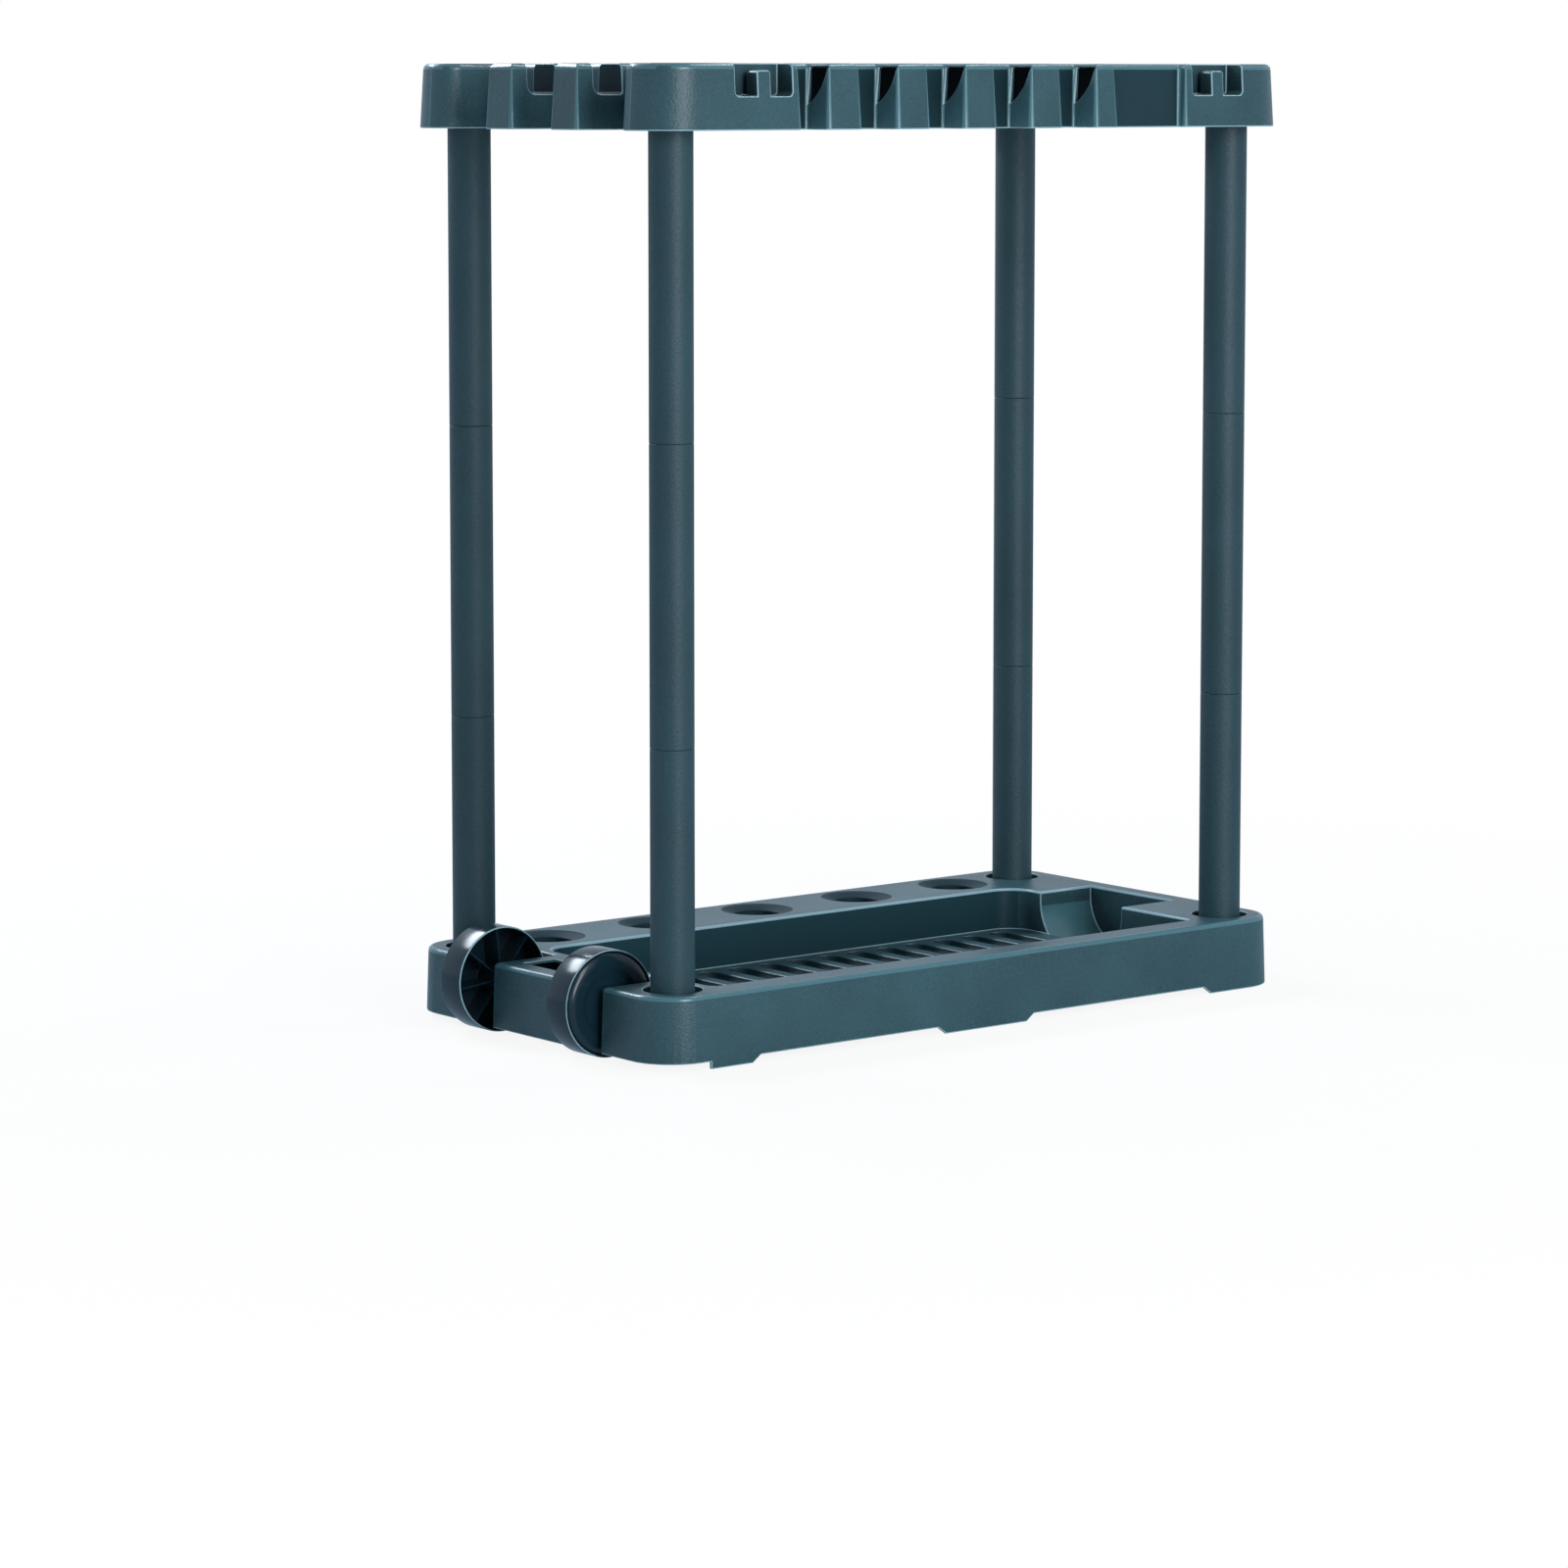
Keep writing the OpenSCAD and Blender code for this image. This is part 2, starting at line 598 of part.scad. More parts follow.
// Wheels: on the closed side a thin lip, a band and a raised cap with a shallow dish; on the
// open side ribs round a hub.
module wheel_section() {
    translate([wheel_r - tread_t, 0]) square([tread_t, wheel_w - cap_h]);
    translate([wheel_r - lip_t, 0]) square([lip_t, wheel_w - cap_h / 2]);
    polygon(concat([[0, face_z], [wheel_r - 1, face_z], [wheel_r - 1, wheel_w - cap_h]],
        arc([cap_r - cap_h, wheel_w - cap_h], cap_h, 0, 90, 6),
        [[dish_r, wheel_w], [dish_r - dish_slope, wheel_w - dish_dep], [0, wheel_w - dish_dep]]));
    translate([axle_d / 2 + run_gap, -hub_proud]) square([hub_r - axle_d / 2, hub_proud + face_z + 1]);
}

module wheel() {
    rotate_extrude() wheel_section();
    for (i = [0:rib_n - 1]) rotate([0, 0, rib_turn + i * 360 / rib_n])
        translate([hub_r - 1, -rib_t / 2, 2]) cube([wheel_r - tread_t - hub_r + 2, rib_t, face_z - 1]);
}

module wheel_front() color(wheel_colour) place()
    translate([axle_x, -wheel_y0, axle_z]) rotate([90, 0, 0]) wheel();

module wheel_back() color(wheel_colour) place()
    translate([axle_x, wheel_y0, axle_z]) rotate([-90, 0, 0]) wheel();

module wheel_axle() color(steel) place() translate([axle_x, 0, axle_z]) rotate([90, 0, 0]) rotate_extrude() {
    half = wheel_y0 + face_z - 0.5;
    polygon([[0, -half], [axle_d / 2 - 0.8, -half], [axle_d / 2, 0.8 - half], [axle_d / 2, half - 0.8],
        [axle_d / 2 - 0.8, half], [0, half]]);
}

base_tray();
top_rack();
wheel_front();
wheel_back();
wheel_axle();
post_tube(-1, -1, 0);  // post_front_left_lower
post_tube(-1, -1, 1);  // post_front_left_middle
post_tube(-1, -1, 2);  // post_front_left_upper
post_tube(1, -1, 0);  // post_front_right_lower
post_tube(1, -1, 1);  // post_front_right_middle
post_tube(1, -1, 2);  // post_front_right_upper
post_tube(-1, 1, 0);  // post_back_left_lower
post_tube(-1, 1, 1);  // post_back_left_middle
post_tube(-1, 1, 2);  // post_back_left_upper
post_tube(1, 1, 0);  // post_back_right_lower
post_tube(1, 1, 1);  // post_back_right_middle
post_tube(1, 1, 2);  // post_back_right_upper
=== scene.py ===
import math

import bmesh
import bpy
from mathutils import Matrix, Vector
from mathutils.bvhtree import BVHTree
from mathutils.geometry import delaunay_2d_cdt


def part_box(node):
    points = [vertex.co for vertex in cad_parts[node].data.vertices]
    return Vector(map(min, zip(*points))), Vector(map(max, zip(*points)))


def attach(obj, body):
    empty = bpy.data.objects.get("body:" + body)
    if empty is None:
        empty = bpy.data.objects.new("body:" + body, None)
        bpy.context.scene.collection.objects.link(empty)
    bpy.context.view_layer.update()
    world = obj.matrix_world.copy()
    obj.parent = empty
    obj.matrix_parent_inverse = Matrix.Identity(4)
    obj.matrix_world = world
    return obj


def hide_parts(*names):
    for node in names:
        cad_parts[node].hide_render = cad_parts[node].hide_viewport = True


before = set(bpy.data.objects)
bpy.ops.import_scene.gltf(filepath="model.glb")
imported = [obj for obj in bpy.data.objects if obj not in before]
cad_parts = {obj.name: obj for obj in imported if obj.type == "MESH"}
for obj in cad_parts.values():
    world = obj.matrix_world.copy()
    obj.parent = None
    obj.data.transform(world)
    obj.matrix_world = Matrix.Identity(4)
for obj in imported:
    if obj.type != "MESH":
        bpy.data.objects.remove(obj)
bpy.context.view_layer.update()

MM = 0.001


# Camera
# The photograph was taken from the front left with a long lens, a little above the rack.
# Its camera's place is in metres, yaw and pitch are in degrees, lens and film in millimetres.
CAMERA_AT = (-2.9370, -3.5684, 0.8319)
CAMERA_YAW = 38.82
CAMERA_PITCH = 6.07
CAMERA_LENS = 118.4
CAMERA_FILM = 36
CAMERA_SHIFT = -0.1
CAMERA_REACH = 60


def make_camera():
    data = bpy.data.cameras.new("camera")
    data.sensor_width = CAMERA_FILM
    data.lens = CAMERA_LENS
    data.shift_y = CAMERA_SHIFT
    data.clip_end = CAMERA_REACH
    camera = bpy.data.objects.new("camera", data)
    bpy.context.scene.collection.objects.link(camera)
    camera.location = CAMERA_AT
    camera.rotation_euler = (math.radians(90 - CAMERA_PITCH), 0, -math.radians(CAMERA_YAW))
    bpy.context.scene.camera = camera


# Materials
def linear(code):
    """An sRGB hex colour as linear numbers."""
    parts = [int(code[i:i + 2], 16) / 255 for i in (1, 3, 5)]
    return tuple(c / 12.92 if c <= 0.04045 else ((c + 0.055) / 1.055) ** 2.4 for c in parts) + (1,)


def new_tree(name):
    material = bpy.data.materials.new(name)
    material.use_nodes = True
    tree = material.node_tree
    tree.nodes.clear()
    return material, tree


def add(tree, kind, links=None, **settings):
    """Adds a node. A setting is an input's name or a property, and links are {input: socket}."""
    node = tree.nodes.new(kind)
    for key, value in settings.items():
        if hasattr(node, key):
            setattr(node, key, value)
        else:
            node.inputs[key.replace("_", " ")].default_value = value
    for key, socket in (links or {}).items():
        tree.links.new(socket, node.inputs[key])
    return node


# Painted shade: the near-black that recesses are darkened to, and how far round a place is looked at
# for it
PAINTED_SHADE = "#05090b"
PAINTED_SHADE_REACH = 50 * MM
# Size of the cloudy patches in millimetres, and how far the grain moves their edges
FLOW_MM = 90
SPECK = 0.5
# How far the grain moves the roughness up and down
ROUGH_SWING = 0.05


def moulded(name, colour, patch, roughness, grain_mm, grain_depth, gloss, shade=1.0):
    """Injection-moulded polypropylene: one colour all through, with the fine spark-eroded grain
    of its mould, which breaks its highlights up, and a cloudiness where the melt flowed. The grain
    is drawn coarser than it is, or it would not show. Recesses get painted shade: ambient
    occlusion darkens them towards a near-black, as strongly as shade says."""
    material, tree = new_tree(name)
    place = add(tree, "ShaderNodeTexCoord").outputs["Object"]
    in_mm = add(tree, "ShaderNodeMapping", {"Vector": place})
    in_mm.inputs["Scale"].default_value = (1 / MM, 1 / MM, 1 / MM)
    point = in_mm.outputs["Vector"]
    flow = add(tree, "ShaderNodeTexNoise", {"Vector": point}, Scale=1 / FLOW_MM, Detail=2)
    grain = add(tree, "ShaderNodeTexNoise", {"Vector": point}, Scale=1 / grain_mm, Detail=3,
                Roughness=0.6)
    speck = add(tree, "ShaderNodeMix", {"Factor": grain.outputs["Fac"]}, data_type="FLOAT")
    speck.inputs[2].default_value = -SPECK
    speck.inputs[3].default_value = SPECK
    both = add(tree, "ShaderNodeMath", {0: flow.outputs["Fac"], 1: speck.outputs[0]},
               operation="ADD", use_clamp=True)
    tint = add(tree, "ShaderNodeMix", {"Factor": both.outputs[0]}, data_type="RGBA")
    tint.inputs[6].default_value = linear(colour)
    tint.inputs[7].default_value = linear(patch)
    # Painted shade: ambient occlusion darkens recesses towards a near-black colour
    openness = add(tree, "ShaderNodeAmbientOcclusion", samples=8, only_local=True,
                   Distance=PAINTED_SHADE_REACH)
    open_share = add(tree, "ShaderNodeMath", {0: openness.outputs["AO"]}, operation="POWER")
    open_share.inputs[1].default_value = shade
    shaded = add(tree, "ShaderNodeMix", {"Factor": open_share.outputs[0], 7: tint.outputs[2]},
                 data_type="RGBA")
    shaded.inputs[6].default_value = linear(PAINTED_SHADE)
    rough = add(tree, "ShaderNodeMapRange", {"Value": grain.outputs["Fac"]})
    rough.inputs["To Min"].default_value = roughness - ROUGH_SWING
    rough.inputs["To Max"].default_value = roughness + ROUGH_SWING
    bump = add(tree, "ShaderNodeBump", {"Height": grain.outputs["Fac"]}, Strength=1.0)
    bump.inputs["Distance"].default_value = grain_depth * MM
    shader = add(tree, "ShaderNodeBsdfPrincipled",
                 {"Base Color": shaded.outputs[2], "Roughness": rough.outputs["Result"],
                  "Normal": bump.outputs["Normal"]}, IOR=1.49)
    shader.inputs["Specular IOR Level"].default_value = gloss
    add(tree, "ShaderNodeOutputMaterial", {"Surface": shader.outputs["BSDF"]})
    return material


# Spacing and length of the lines that drawing leaves, in millimetres
DRAW_SPACING_MM = 0.4
DRAW_LENGTH_MM = 20
STEEL_ROUGH = (0.22, 0.42)


def drawn_steel():
    """Cold-drawn mild steel rod: bright, with fine lines along its length, which are drawn
    coarser than they are, or they would not show."""
    material, tree = new_tree("steel_cold_drawn")
    place = add(tree, "ShaderNodeTexCoord").outputs["Object"]
    lines = add(tree, "ShaderNodeMapping", {"Vector": place})
    across = 1 / (DRAW_SPACING_MM * MM)
    lines.inputs["Scale"].default_value = (across, 1 / (DRAW_LENGTH_MM * MM), across)
    draw = add(tree, "ShaderNodeTexNoise", {"Vector": lines.outputs["Vector"]}, Scale=1, Detail=3)
    rough = add(tree, "ShaderNodeMapRange", {"Value": draw.outputs["Fac"]})
    rough.inputs["To Min"].default_value = STEEL_ROUGH[0]
    rough.inputs["To Max"].default_value = STEEL_ROUGH[1]
    shader = add(tree, "ShaderNodeBsdfPrincipled", {"Roughness": rough.outputs["Result"]},
                 Metallic=1.0)
    shader.inputs["Base Color"].default_value = linear("#b4b7ba")
    add(tree, "ShaderNodeOutputMaterial", {"Surface": shader.outputs["BSDF"]})
    return material


WHITE = "#ffffff"
PAPER = "#f4f4f4"
# What reflections see of the paper and of the walls
MIRRORED_PAPER = "#9fb9d0"
MIRRORED_WALLS = "#cfdeed"
# From where to where the paper turns from slightly shaded to white, in metres from the rack
PAPER_NEAR = 0.5
PAPER_FAR = 1.5
NEAR_WHITE = 0.9


def seamless_paper():
    """White studio paper: white far from the rack, with a soft shadow close to it, and cooler and
    darker in reflections."""
    material, tree = new_tree("paper_matt_white")
    ray = add(tree, "ShaderNodeLightPath")
    either = add(tree, "ShaderNodeMath",
                 {0: ray.outputs["Is Camera Ray"], 1: ray.outputs["Is Glossy Ray"]},
                 operation="MAXIMUM")
    place = add(tree, "ShaderNodeTexCoord").outputs["Object"]
    away = add(tree, "ShaderNodeVectorMath", {0: place}, operation="LENGTH")
    share = add(tree, "ShaderNodeMapRange", {"Value": away.outputs["Value"]})
    share.inputs["From Min"].default_value = PAPER_NEAR
    share.inputs["From Max"].default_value = PAPER_FAR
    share.inputs["To Min"].default_value = NEAR_WHITE
    share.inputs["To Max"].default_value = 1
    seen = add(tree, "ShaderNodeMath", {0: either.outputs[0], 1: share.outputs["Result"]},
               operation="MULTIPLY")
    paper = add(tree, "ShaderNodeBsdfDiffuse")
    paper.inputs["Color"].default_value = linear(PAPER)
    tone = add(tree, "ShaderNodeMix", {"Factor": ray.outputs["Is Camera Ray"]}, data_type="RGBA")
    tone.inputs[6].default_value = linear(MIRRORED_PAPER)
    tone.inputs[7].default_value = linear(WHITE)
    glow = add(tree, "ShaderNodeEmission", {"Color": tone.outputs[2]})
    mix = add(tree, "ShaderNodeMixShader",
              {0: seen.outputs[0], 1: paper.outputs[0], 2: glow.outputs[0]})
    add(tree, "ShaderNodeOutputMaterial", {"Surface": mix.outputs[0]})
    return material


# Outer faces of both mouldings: an even grain that keeps their highlights soft
SHELL = moulded("polypropylene_moulded_grained", "#375c64", "#213940", roughness=0.36,
                grain_mm=2.0, grain_depth=0.45, gloss=0.4, shade=0.6)
# The sunk panels in the rack's front are smooth. The backs of the panels and of the front slots get a
# darker colour, which is painted shade
PANEL_PAINTED_SHADE = moulded("polypropylene_smooth_painted_shade", "#1b363e", "#183138", roughness=0.34,
                grain_mm=0.5, grain_depth=0.01, gloss=0.2)
# The tray's back wall is as smooth, and its dark colour, a little lighter, is painted shade
TRAY_WALL_PAINTED_SHADE = moulded("polypropylene_smooth_wall_painted_shade", "#224048", "#1f3c44", roughness=0.34,
                    grain_mm=0.5, grain_depth=0.01, gloss=0.2, shade=0.4)
# The left-facing sides of the front slots are painted paler, as painted light bouncing between the
# fingers, with less painted shade, and are a little glossier
SLOT_SIDE_PAINTED_LIGHT = moulded("polypropylene_slot_side_painted_light", "#4c757f", "#426973", roughness=0.36,
                    grain_mm=2.2, grain_depth=0.4, gloss=0.5, shade=0.2)
# Tray grooves, cup mouths and the dips across the end fingers are dull, and their darker colour is
# painted shade
HOLLOW_PAINTED_SHADE = moulded("polypropylene_dull_painted_shade", "#17313a", "#132a32", roughness=0.55,
                 grain_mm=2.2, grain_depth=0.3, gloss=0.14, shade=0.6)
# Rounded edges are polished in the mould, so lamps give them a clear highlight, and their lighter
# colour adds a painted highlight
EDGE_PAINTED_HIGHLIGHT = moulded("polypropylene_polished_painted_highlight", "#467079", "#406a73", roughness=0.26,
               grain_mm=0.8, grain_depth=0.004, gloss=0.55, shade=0.6)
# The finest edges, and the lips of the wheels, are painted pale: a painted highlight
RIM_PAINTED_HIGHLIGHT = moulded("polypropylene_edge_painted_highlight", "#8fb2bc", "#85a8b3", roughness=0.38,
              grain_mm=0.8, grain_depth=0.01, gloss=0.4, shade=0.5)
# The side that the mould's core forms is left dull, and its near-black colour is painted shade, as no
# light gets far into it
CORE_PAINTED_SHADE = moulded("polypropylene_core_side_painted_shade", "#10191c", "#0e1719", roughness=0.7,
               grain_mm=0.8, grain_depth=0.03, gloss=0.05, shade=1.5)
# The tubes are duller than the mouldings, with no polished edge
TUBE = moulded("polypropylene_extruded", "#29474f", "#1e363d", roughness=0.48,
               grain_mm=2.0, grain_depth=0.4, gloss=0.36)
# The wheels come from a polished mould: dark, with sharp long highlights
WHEEL = moulded("polypropylene_moulded_glossy", "#142b35", "#112731", roughness=0.18,
                grain_mm=0.6, grain_depth=0.006, gloss=0.32, shade=0.6)
# The free edges of the wheel's ribs are painted near-white, a painted highlight that shows them as
# fine light lines
RIB_PAINTED_HIGHLIGHT = moulded("polypropylene_rib_edge_painted_highlight", "#bccdd3", "#b2c4cb", roughness=0.3,
              grain_mm=0.8, grain_depth=0.01, gloss=0.6, shade=0.2)
STEEL = drawn_steel()


# Shapes
def link(name, mesh, material):
    piece = bpy.data.objects.new(name, mesh)
    bpy.context.scene.collection.objects.link(piece)
    if material is not None:
        piece.data.materials.append(material)
    return piece


def flattened(piece):
    """The piece with its modifiers made into plain mesh."""
    bpy.context.view_layer.update()
    graph = bpy.context.evaluated_depsgraph_get()
    mesh = bpy.data.meshes.new_from_object(piece.evaluated_get(graph), depsgraph=graph)
    piece.modifiers.clear()
    piece.data = mesh
    return piece


# Faces that meet at less than FLAT are one flat part, and edges over SHARP get rounded
FLAT = math.radians(0.4)
SHARP = math.radians(40)
# Loose corners closer than WELD are one, and triangles thinner than SLIVER go
WELD = 0.02 * MM
SLIVER = 0.1 * MM
SAME_SPOT = 1e-7
# A face looks down where its normal's Z is below LOOKS_DOWN, and is near level below LEVEL_DOWN
LOOKS_DOWN = -0.5
LEVEL_DOWN = -0.9


def number_flats(shape):
    """Gives each flat part of a mesh its own number, from 1, in a face layer."""
    flat = shape.faces.layers.int.new("flat")
    count = 0
    for seed in shape.faces:
        if seed[flat]:
            continue
        count += 1
        seed[flat] = count
        around = [seed]
        while around:
            for edge in around.pop().edges:
                if edge.is_manifold and edge.calc_face_angle(0) < FLAT:
                    for other in edge.link_faces:
                        if not other[flat]:
                            other[flat] = count
                            around.append(other)
    return flat


def within(point, rim):
    """Whether a point lies inside an outline, which may have holes."""
    odd = False
    for a, b in rim:
        crosses = (a.y > point.y) != (b.y > point.y)
        if crosses and point.x < a.x + (point.y - a.y) * (b.x - a.x) / (b.y - a.y):
            odd = not odd
    return odd


def refill(shape, faces):
    """Lays fresh triangles over a flat part, so that no thin ones are left beside a rounded edge."""
    normal = sum((face.normal * face.calc_area() for face in faces), Vector()).normalized()
    across = normal.orthogonal().normalized()
    up = normal.cross(across)
    part = set(faces)
    edges = [e for face in faces for e in face.edges if sum(f in part for f in e.link_faces) == 1]
    verts = list(dict.fromkeys(v for e in edges for v in e.verts))
    place = {v: i for i, v in enumerate(verts)}
    plan = [Vector((v.co.dot(across), v.co.dot(up))) for v in verts]
    pairs = [(place[e.verts[0]], place[e.verts[1]]) for e in edges]
    rim = [(plan[a], plan[b]) for a, b in pairs]
    level = sum(v.co.dot(normal) for v in verts) / len(verts)
    points, _, triangles, origins, _, _ = delaunay_2d_cdt(plan, pairs, [], 1, SAME_SPOT)
    finish = faces[0].material_index
    corners = [verts[old[0]] if old else shape.verts.new(across * p.x + up * p.y + normal * level)
               for p, old in zip(points, origins)]
    for face in faces:
        shape.faces.remove(face)
    for triangle in triangles:
        ends = [corners[i] for i in triangle]
        middle = sum((points[i] for i in triangle), Vector((0, 0))) / 3
        if len(set(ends)) < 3 or not within(middle, rim) or shape.faces.get(ends):
            continue
        face = shape.faces.new(ends)
        face.material_index = finish
        face.normal_update()
        if face.normal.dot(normal) < 0:
            face.normal_flip()


# A flat part narrower than this is one step of a rounded edge
STRIP = 3 * MM


def is_strip(faces):
    """Whether a flat part is so narrow that it is one step of a rounded edge."""
    corners = [v.co for face in faces for v in face.verts]
    reach = max(max(c[i] for c in corners) - min(c[i] for c in corners) for i in range(3))
    return sum(face.calc_area() for face in faces) < STRIP * reach


def rounded_copy(node, name, materials, width, soft_width=0, soft=None):
    """The solid of a node with its sharp edges rounded as in a mould by width, in millimetres, and
    those that soft names by soft_width. Inner corners of the hollow below stay as they are. The
    second material is for edges that the solid has round already, and the last one for those that
    are rounded here."""
    mesh = bpy.data.meshes.new(name)
    shape = bmesh.new()
    shape.from_mesh(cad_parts[node].data)
    bmesh.ops.remove_doubles(shape, verts=shape.verts, dist=WELD)
    bmesh.ops.dissolve_degenerate(shape, edges=shape.edges, dist=SLIVER)
    bmesh.ops.triangulate(shape, faces=shape.faces)
    shape.normal_update()
    flat = number_flats(shape)
    for offset, steps, wanted in ((soft_width, 3, soft), (width, 2, None)):
        if not offset:
            continue
        edges = [e for e in shape.edges if e.is_manifold and e.calc_face_angle(0) > SHARP
                 and any(face[flat] for face in e.link_faces)
                 and (e.is_convex or all(face.normal.z > LOOKS_DOWN for face in e.link_faces))
                 and (wanted is None or wanted(e))]
        made = bmesh.ops.bevel(shape, geom=edges, offset=offset * MM, offset_type="OFFSET",
                               segments=steps, profile=0.5, affect="EDGES", clamp_overlap=False,
                               miter_outer="SHARP", material=len(materials) - 1)
        for face in made["faces"]:
            face[flat] = 0
    parts = {}
    for face in shape.faces:
        parts.setdefault(face[flat], []).append(face)
    for number, faces in parts.items():
        if not number:
            continue
        if len(materials) > 1 and is_strip(faces):
            for face in faces:
                face.material_index = 1
        if len(faces) > 2:
            refill(shape, faces)
    bmesh.ops.delete(shape, geom=[e for e in shape.edges if not e.link_faces], context="EDGES")
    bmesh.ops.delete(shape, geom=[v for v in shape.verts if not v.link_faces], context="VERTS")
    for face in shape.faces:
        face.smooth = True
    shape.to_mesh(mesh)
    shape.free()
    piece = link(name, mesh, materials[0])
    for other in materials[1:]:
        piece.data.materials.append(other)
    normals = piece.modifiers.new("normals", "WEIGHTED_NORMAL")
    normals.keep_sharp = False
    normals.weight = 100
    return flattened(piece)


def finish_where(piece, material, chosen, over=(0,)):
    """Gives chosen faces that have one of the finishes numbered in over another finish."""
    piece.data.materials.append(material)
    last = len(piece.data.materials) - 1
    for face in piece.data.polygons:
        if face.material_index in over and chosen(face.center, face.normal):
            face.material_index = last


# How far off its face a ray starts
OFF_FACE = 0.3 * MM


def finish_core_side(piece):
    """Gives the hollow below its dull finish and painted shade: faces that are level and look down, or
    that have the piece itself above them."""
    corners = [v.co for v in piece.data.vertices]
    tree = BVHTree.FromPolygons(corners, [f.vertices for f in piece.data.polygons])
    up = Vector((0, 0, 1))

    def covered(at, normal):
        return normal.z < LEVEL_DOWN or tree.ray_cast(at + (normal + up) * OFF_FACE, up)[0] is not None

    finish_where(piece, CORE_PAINTED_SHADE, covered, (0, 1))


# The most of a straight stretch that one rounded corner takes
CORNER_SHARE = 0.45


def softened(chain, radius, steps=3):
    """A chain of points with its corners rounded. The first and last point stay."""
    made = [Vector(chain[0])]
    for before, corner, after in zip(chain, chain[1:], chain[2:]):
        corner = Vector(corner)
        back = Vector(before) - corner
        on = Vector(after) - corner
        turn = math.pi - back.angle(on)
        reach = min(radius * math.tan(turn / 2), CORNER_SHARE * back.length, CORNER_SHARE * on.length)
        start = corner + back.normalized() * reach
        end = corner + on.normalized() * reach
        for i in range(steps + 1):
            t = i / steps
            made.append(start * (1 - t) ** 2 + corner * 2 * t * (1 - t) + end * t ** 2)
    made.append(Vector(chain[-1]))
    return made


ON_AXIS = 1e-6


def turned(name, chain, steps, material, place):
    """A solid turned from a chain of (radius, height) that starts and ends on the axis."""
    shape = bmesh.new()
    rings = []
    for radius, height in chain:
        if radius < ON_AXIS:
            rings.append([shape.verts.new((0, 0, height))] * steps)
            continue
        angles = [2 * math.pi * i / steps for i in range(steps)]
        spots = [(radius * math.cos(a), radius * math.sin(a), height) for a in angles]
        rings.append([shape.verts.new(spot) for spot in spots])
    for ring, after in zip(rings, rings[1:]):
        for i in range(steps):
            j = (i + 1) % steps
            corners = dict.fromkeys((ring[i], ring[j], after[j], after[i]))
            shape.faces.new(corners).smooth = True
    bmesh.ops.recalc_face_normals(shape, faces=shape.faces)
    bmesh.ops.transform(shape, matrix=place, verts=shape.verts)
    mesh = bpy.data.meshes.new(name)
    shape.to_mesh(mesh)
    shape.free()
    return link(name, mesh, material)


def stand_in(piece, node, body):
    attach(piece, body)
    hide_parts(node)


# The two mouldings
# Their outer sizes come from the frame. The rest tells their faces apart, in metres, and a pair of
# numbers is a range.
rack_low, rack_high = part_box("top_rack")
MIDDLE_X = (rack_low.x + rack_high.x) / 2
HALF_LEN = (rack_high.x - rack_low.x) / 2
HALF_DEP = (rack_high.y - rack_low.y) / 2
RACK_Z = rack_high.z
DECK_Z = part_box("base_tray")[1].z
# How far below a flat top a face has to lie so that the top itself is left out
HAIR = 0.2 * MM
AT_DECK = 0.1 * MM
TRAY_LEFT = 78 * MM
TRAY_RIGHT = 88 * MM
FRONT_RIM = 32 * MM
BACK_DECK = 95 * MM
TRAY_LOW = Vector((MIDDLE_X - HALF_LEN + TRAY_LEFT, -HALF_DEP + FRONT_RIM))
TRAY_HIGH = Vector((MIDDLE_X + HALF_LEN - TRAY_RIGHT, HALF_DEP - BACK_DECK))
TRAY_WALL_LOW_Z = 25.5 * MM
GROOVE_Z = (15 * MM, 24.6 * MM)
GROOVE_RIM_Z = (20 * MM, 25.2 * MM)
TROUGH_Y = -3.8 * MM
TROUGH_HALF = 56.5 * MM
CUP_PITCH = 120 * MM
CUP_STEPS = range(-2, 3)
CUP_INSET = 46 * MM
CUP_Y = HALF_DEP - CUP_INSET
CUP_MOUTH = 34 * MM
CUP_FLOOR_Z = 10 * MM
DIP_FROM_END = (10 * MM, 60 * MM)
DIP_DEPTH = 27 * MM
CORNER = 42 * MM
# How far behind the front face the backs and the sides of the sunk panel and slots lie
SUNK_BACK = (4.8 * MM, 40 * MM)
SLOT_DEPTH = (2 * MM, 32 * MM)
# Where the left and the right hook lie from the middle, and half the width of their pockets
HOOKS = (-251 * MM, 270 * MM)
HOOK_HALF = 33 * MM


def in_tray(at, margin=0):
    along = TRAY_LOW.x - margin < at.x < TRAY_HIGH.x + margin
    return along and TRAY_LOW.y - margin < at.y < TRAY_HIGH.y + margin


def on_rim(edge):
    """Whether an edge runs round the tray or the trough, at the deck."""
    for at in (v.co for v in edge.verts):
        on_deck = abs(at.z - DECK_Z) < AT_DECK
        in_trough = at.x > TRAY_HIGH.x - MM and abs(at.y - TROUGH_Y) < TROUGH_HALF + MM
        if not (on_deck and (in_tray(at, MM) or in_trough)):
            return False
    return True


def is_tray_wall(at, normal):
    """Whether a face is the tray's back wall, round into its corners."""
    at_back = normal.y < -0.5 and at.x < TRAY_HIGH.x and at.y > 0
    return at_back and TRAY_WALL_LOW_Z < at.z < DECK_Z


def is_groove(at, normal):
    """Whether a face lies in a groove of the tray's floor."""
    return in_tray(at) and normal.z > 0.05 and GROOVE_Z[0] < at.z < GROOVE_Z[1]


def is_groove_rim(at, normal):
    """Whether a face is the rounded rim of a groove."""
    return in_tray(at) and GROOVE_RIM_Z[0] < at.z < GROOVE_RIM_Z[1]


